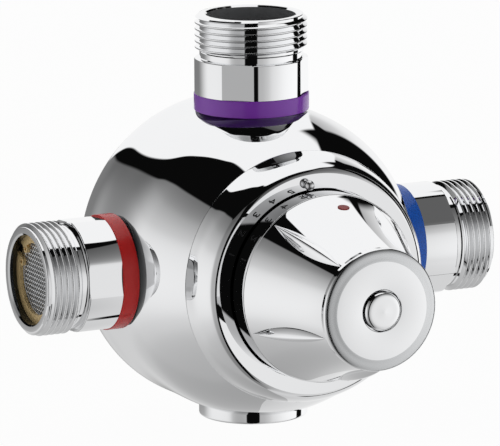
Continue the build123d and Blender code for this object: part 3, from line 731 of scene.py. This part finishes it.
def makeDial():
    # numbers printed round the skirt, upright towards the body, and the red dot on the bell
    s = dialSet
    marks = []
    for text, angle in s["numbers"]:
        clearSelection()
        bpy.ops.object.text_add()
        mark = bpy.context.object
        mark.data.body = text
        mark.data.align_x = "CENTER"
        mark.data.size = s["fontSize"] * mm
        mark.data.extrude = s["thick"] * mm
        pickOnly(mark)
        bpy.ops.object.convert(target="MESH")
        bpy.ops.object.mode_set(mode="EDIT")
        bpy.ops.mesh.select_all(action="SELECT")
        bpy.ops.mesh.remove_doubles(threshold=0.002 * mm)
        bpy.ops.mesh.quads_convert_to_tris()
        bpy.ops.mesh.subdivide(number_cuts=2)
        bpy.ops.object.mode_set(mode="OBJECT")
        for vertex in mark.data.vertices:
            x, y, z = (c / mm for c in vertex.co)
            turn = math.radians(angle) + x / s["radius"]
            r = s["radius"] + z
            h = s["centre"] + s["height"] / 2 - y
            vertex.co = Vector((r * math.cos(turn), r * math.sin(turn), h)) * mm
        marks.append(mark)
    piece = joinPieces(marks[0], marks[1:])
    piece.name = "dialNumbers"
    tidyMesh(piece, sharpAngle=40)
    standAt(piece, "front")
    dress(piece, "darkPrint", "knob")
    angle, h, radius, squat = s["dot"]
    (r0, h0), (r1, h1) = knobSet["base"], knobSet["top"]
    t = (h - h0) / (h1 - h0)
    r = r0 + (r1 - r0) * t - knobSet["sag"] * 4 * t * (1 - t)
    outline = [(0, -0.3), (radius, -0.3), (radius, 0.12), (radius - 0.15, 0.2), (0, 0.24)]
    dot = turnPiece("redDot", outline, 48)
    dot.scale = (squat, 1, 1)
    lean = math.radians(90) - math.atan2(r0 - r1, h1 - h0) * s["dotLean"]
    applyPlace(dot, (0, lean, 0), (r * mm, 0, h * mm))
    applyPlace(dot, (0, 0, math.radians(angle)))
    standAt(dot, "front")
    dress(dot, "redPrint", "knob")


makeDial()

capSet = {
    "radius": 22.5, "back": 102.62, "side": 104.2, "face": (18.0, 106.2), "hole": 7.7, "floor": 99.5,
    "bossEnd": 90.0, "stem": 5.05, "boss": 7.8, "spigot": 18.45, "plate": 98.02,
}


def makeCap():
    s = capSet
    radius, side, (faceRadius, face) = s["radius"], s["side"], s["face"]
    knots = [(radius, side - 0.6), (radius - 0.2, side + 0.55), (radius - 0.8, side + 1.05),
             (faceRadius + 1.4, face - 0.32), (faceRadius + 0.4, face - 0.08)]
    outline = [(s["spigot"], s["back"]), (radius, s["back"])]
    outline += naturalCurve(knots, 24)
    outline += [s["face"], (s["hole"] + 0.4, face + 0.05)]
    outline += arc((s["hole"] + 0.4, face - 0.35), 0.4, 90, 180, 4)
    outline += [(s["hole"], s["floor"]), (s["stem"], s["floor"]), (s["stem"], s["bossEnd"]),
                (s["boss"], s["bossEnd"]), (s["boss"], s["plate"]), (s["spigot"], s["plate"])]
    piece = turnPiece("knobCapTurned", outline, 192, sharpAngle=16)
    standAt(piece, "front")
    dress(piece, "knob", "knob", ["knob_cap"])
    # the slope round the cap's face is satin
    piece.data.materials.append(finish["capEdge"])
    for facet in piece.data.polygons:
        away = facet.center - Vector(portPlane)
        if math.hypot(away.x, away.z) > faceRadius * mm and -away.y > (side + 0.6) * mm:
            facet.material_index = 1


makeCap()

buttonSet = {
    "radius": 7.1, "rim": 107.2, "dome": 108.3, "head": 104.0, "stem": 5.0, "end": 88.0,
    "groove": (89.0, 89.96, 4.3), "grooveGap": (0.02, 0.04),
}


def makeButton():
    s = buttonSet
    radius, stem, rim, dome = s["radius"], s["stem"], s["rim"], s["dome"]
    low, high, deep = s["groove"]
    low, high = low - s["grooveGap"][0], high + s["grooveGap"][1]
    outline = [(0, s["end"]), (stem, s["end"]), (stem, low), (deep, low), (deep, high), (stem, high),
               (stem, s["head"]), (radius, s["head"])]
    knots = [(radius, rim - 0.4), (radius - 0.35, rim + 0.25), (radius * 0.6, dome - 0.22), (0.0001, dome)]
    outline += naturalCurve(knots, 14)
    piece = turnPiece("pushButtonTurned", outline, 128, sharpAngle=25)
    standAt(piece, "front")
    dress(piece, "knob", "button", ["push_button"])


makeButton()
print("knob ready")

strainerSet = {
    "low": 85.52, "rim": 16.6, "inside": 13.4, "thick": 2.0, "pitch": 1.17, "wire": 0.17, "turn": 45.0,
    "overlap": 0.3, "meshDepth": 0.55, "waveShare": 0.95,
}


def makeStrainer(port):
    s = strainerSet
    high = s["low"] + s["thick"]
    outline = [(s["inside"], s["low"]), (s["rim"], s["low"]), (s["rim"], high)]
    outline += arc((s["inside"] + 0.4, high - 0.4), 0.4, 90, 180, 4)
    piece = turnPiece(port + "StrainerWoven", outline, 96)
    wires = []
    count = int(s["inside"] / s["pitch"])
    for way in (0, 90):
        for k in range(-count, count + 1):
            off = k * s["pitch"]
            half = math.sqrt((s["inside"] + s["overlap"]) ** 2 - off * off)
            cells = max(2, round(2 * half / s["pitch"]) * 2)
            clearSelection()
            bpy.ops.mesh.primitive_grid_add(x_subdivisions=cells, y_subdivisions=5, size=mm)
            wire = bpy.context.object
            phase = 0 if (k % 2 == 0) == (way == 0) else math.pi
            for vertex in wire.data.vertices:
                along = vertex.co.x / mm * 2 * half
                a = 2 * math.pi * (vertex.co.y / mm + 0.5)
                wave = s["wire"] * s["waveShare"] * math.cos(math.pi * along / s["pitch"] + phase)
                up = high - s["meshDepth"] + wave + s["wire"] * math.sin(a)
                vertex.co = Vector((along, off + s["wire"] * math.cos(a), up)) * mm
            tidyMesh(wire, sharpAngle=80)
            applyPlace(wire, (0, 0, math.radians(way + s["turn"])))
            wires.append(wire)
    piece = joinPieces(piece, wires)
    standAt(piece, port)
    dress(piece, "wire", "valve", [port + "_strainer"])


for port in ("hot", "cold"):
    makeStrainer(port)
    dressNode(port + "_circlip", "gold")
print("strainers ready")

# stage: floor, surrounding dome, camera
cameraSet = {
    "turn": -25.854, "lift": 11.755, "roll": -0.335,  # degrees
    "distance": 2.204, "aside": -0.87, "above": 12.32,  # metres, then millimetres off the port crossing
    "focal": 5894.0, "imageWidth": 500, "sensorWidth": 36,  # pixels, pixels, millimetres
}
stageSet = {"floor": -0.0602, "floorSize": 6.0, "floorWhite": 0.965, "domeRadius": 5.0}


def makeCamera():
    s = cameraSet
    a, e, roll = (math.radians(s[label]) for label in ("turn", "lift", "roll"))
    back = Vector((math.sin(a) * math.cos(e), -math.cos(a) * math.cos(e), math.sin(e)))
    level = Vector((math.cos(a), math.sin(a), 0))
    plumb = back.cross(level)
    right = level * math.cos(roll) + plumb * math.sin(roll)
    up = plumb * math.cos(roll) - level * math.sin(roll)
    place = Vector(portPlane) + right * s["aside"] * mm + up * s["above"] * mm + back * s["distance"]
    clearSelection()
    bpy.ops.object.camera_add()
    camera = bpy.context.object
    camera.matrix_world = Matrix.Translation(place) @ Matrix((right, up, back)).transposed().to_4x4()
    camera.data.sensor_width = s["sensorWidth"]
    camera.data.lens = s["focal"] / s["imageWidth"] * s["sensorWidth"]
    camera.data.clip_end = 50
    camera.data.dof.use_dof = False
    bpy.context.scene.camera = camera


def makeFloor():
    clearSelection()
    bpy.ops.mesh.primitive_plane_add(size=stageSet["floorSize"], location=(0, 0, stageSet["floor"]))
    floor = bpy.context.object
    floor.name = "studioFloor"
    floor.visible_glossy = False
    material, nodes, links, shader = startFinish("paleFloor")
    shader.inputs["Base Color"].default_value = (0.9, 0.9, 0.9, 1)
    shader.inputs["Roughness"].default_value = 0.9
    glow = nodes.new("ShaderNodeEmission")
    glow.inputs["Strength"].default_value = 1.0
    mix = nodes.new("ShaderNodeMixShader")
    path = nodes.new("ShaderNodeLightPath")
    share = nodes.new("ShaderNodeMath")
    share.operation = "MULTIPLY"
    share.inputs[1].default_value = stageSet["floorWhite"]
    links.new(path.outputs["Is Camera Ray"], share.inputs[0])
    links.new(share.outputs["Value"], mix.inputs["Fac"])
    links.new(shader.outputs["BSDF"], mix.inputs[1])
    links.new(glow.outputs["Emission"], mix.inputs[2])
    links.new(mix.outputs["Shader"], nodes["Material Output"].inputs["Surface"])
    floor.data.materials.append(material)


domeSet = {
    "black": 0.003, "white": 0.95, "edge": 0.8,
    # degrees round from the camera, degrees up: lower and upper edge of the black hood
    "hoodLow": [(-180, -10), (-165, -1), (-150, 12), (-135, 22), (-120, 31), (-105, 39), (-90, 43),
                (-60, 45), (-45, 43), (-20, 48), (20, 54), (60, 58), (85, 59), (105, 56), (122, 47),
                (148, 30), (162, 29), (172, 10), (180, -10)],
    "hoodHigh": [(-180, -10), (-165, -1), (-150, 14), (-142, 24), (-132, 36), (-120, 54), (-105, 70),
                 (-90, 76), (-60, 77.5), (-20, 76), (20, 74), (60, 70), (85, 64), (105, 62), (122, 56),
                 (145, 46), (155, 38), (162, 30), (172, 10), (180, -10)],
    # degrees up, brightness of the walls
    "wall": [(-75, 0.42), (-50, 0.48), (-35, 0.64), (-15, 0.85), (5, 0.82), (20, 0.57), (28, 0.42),
             (40, 0.2), (57, 0.1)],
    # degrees round, share of that brightness
    "round": [(-180, 0.85), (-135, 0.9), (-110, 1.0), (-61, 1.0), (-42, 0.6), (-27, 0.5), (-10, 0.55),
              (15, 0.55), (30, 0.66), (48, 0.93), (100, 1.2), (153, 1.15), (180, 1.0)],
    # share of the tone, degrees round and degrees up over which it sets in
    "tableRight": (1.3, -10, 30, -25, -50), "wallBack": (0.28, -95, -135, -30, -8),
    # black flags between the softboxes: left, right, bottom, top
    "flags": [(-14, 14, -75, 50), (106, 125, -72, 52), (127, 157, -1, 46)],
}


def makeDome():
    # softboxes and flags around the valve, seen by its chrome and lighting it evenly
    s = domeSet
    clearSelection()
    bpy.ops.mesh.primitive_uv_sphere_add(segments=48, ring_count=24, radius=stageSet["domeRadius"])
    dome = bpy.context.object
    dome.name = "softboxDome"
    dome.visible_camera = False
    dome.visible_shadow = False
    material = bpy.data.materials.new("softboxDome")
    material.use_nodes = True
    nodes, links = material.node_tree.nodes, material.node_tree.links
    nodes.clear()

    def node(kind, **values):
        made = nodes.new(kind)
        for label, value in values.items():
            setattr(made, label, value)
        return made

    def maths(operation, a, b=None, c=None):
        made = node("ShaderNodeMath", operation=operation)
        for i, value in enumerate((a, b, c)):
            if value is None:
                continue
            if isinstance(value, (int, float)):
                made.inputs[i].default_value = value
            else:
                links.new(value, made.inputs[i])
        return made.outputs[0]

    def ease(value, low, high, soft=True):
        made = node("ShaderNodeMapRange", interpolation_type="SMOOTHSTEP" if soft else "LINEAR")
        made.inputs["From Min"].default_value = low
        made.inputs["From Max"].default_value = high
        links.new(value, made.inputs["Value"])
        return made.outputs["Result"]

    def blend(base, top, mask):
        rise = maths("SUBTRACT", top, base)
        return maths("MULTIPLY_ADD", rise, mask, base)

    def band(value, low, high, soft):
        opening = ease(value, low - soft, low + soft)
        return maths("MULTIPLY", opening, ease(value, high + soft, high - soft))

    def drawn(value, span, points, top):
        # smooth drawn line: span is the reach of the value, top the largest result
        made = node("ShaderNodeFloatCurve")
        curve = made.mapping.curves[0]
        places = [((x + span) / (2 * span), y / top) for x, y in points]
        for x, y in places[1:-1]:
            curve.points.new(x, y)
        curve.points[0].location = places[0]
        curve.points[len(places) - 1].location = places[-1]
        made.mapping.extend = "HORIZONTAL"
        made.mapping.update()
        links.new(ease(value, -span, span, False), made.inputs["Value"])
        return maths("MULTIPLY", made.outputs["Value"], top)

    coords = node("ShaderNodeTexCoord")
    turn = node("ShaderNodeMapping")
    turn.inputs["Rotation"].default_value = (0, 0, math.radians(-cameraSet["turn"]))
    split = node("ShaderNodeSeparateXYZ")
    unit = node("ShaderNodeVectorMath", operation="NORMALIZE")
    links.new(coords.outputs["Object"], turn.inputs["Vector"])
    links.new(turn.outputs["Vector"], unit.inputs[0])
    links.new(unit.outputs["Vector"], split.inputs[0])
    across, depth, height = split.outputs
    toward = maths("MULTIPLY", depth, -1.0)
    side = maths("MULTIPLY", maths("ARCTAN2", across, toward), 180 / math.pi)
    lift = maths("MULTIPLY", maths("ARCSINE", height), 180 / math.pi)

    tone = maths("MULTIPLY", drawn(lift, 90, s["wall"], 1.0), drawn(side, 180, s["round"], 1.25))
    # the table is paler on the right; the left wall darkens towards the back
    for share, sideFrom, sideTo, liftFrom, liftTo in (s["tableRight"], s["wallBack"]):
        changed = maths("MULTIPLY", tone, share)
        where = maths("MULTIPLY", ease(side, sideFrom, sideTo), ease(lift, liftFrom, liftTo))
        tone = blend(tone, changed, where)
    # black hood with the white overhead softbox above it
    low = drawn(side, 180, s["hoodLow"], 90)
    high = drawn(side, 180, s["hoodHigh"], 90)
    tone = blend(tone, s["black"], ease(maths("SUBTRACT", lift, low), -s["edge"], s["edge"]))
    tone = blend(tone, s["white"], ease(maths("SUBTRACT", lift, high), -s["edge"], s["edge"]))
    for left, right, bottom, top in s["flags"]:
        flag = maths("MULTIPLY", band(side, left, right, 1.2), band(lift, bottom, top, 3.0))
        tone = blend(tone, s["black"], flag)

    glow = node("ShaderNodeEmission")
    links.new(tone, glow.inputs["Color"])
    out = node("ShaderNodeOutputMaterial")
    links.new(glow.outputs["Emission"], out.inputs["Surface"])
    dome.data.materials.append(material)


def makeWorld():
    world = bpy.data.worlds.new("studioWorld")
    bpy.context.scene.world = world
    world.use_nodes = True
    world.node_tree.nodes["Background"].inputs["Color"].default_value = (1, 1, 1, 1)
    world.node_tree.nodes["Background"].inputs["Strength"].default_value = 1.0


makeFloor()
makeDome()
makeWorld()
makeCamera()
bpy.context.scene.view_settings.view_transform = "Standard"
print("stage ready")
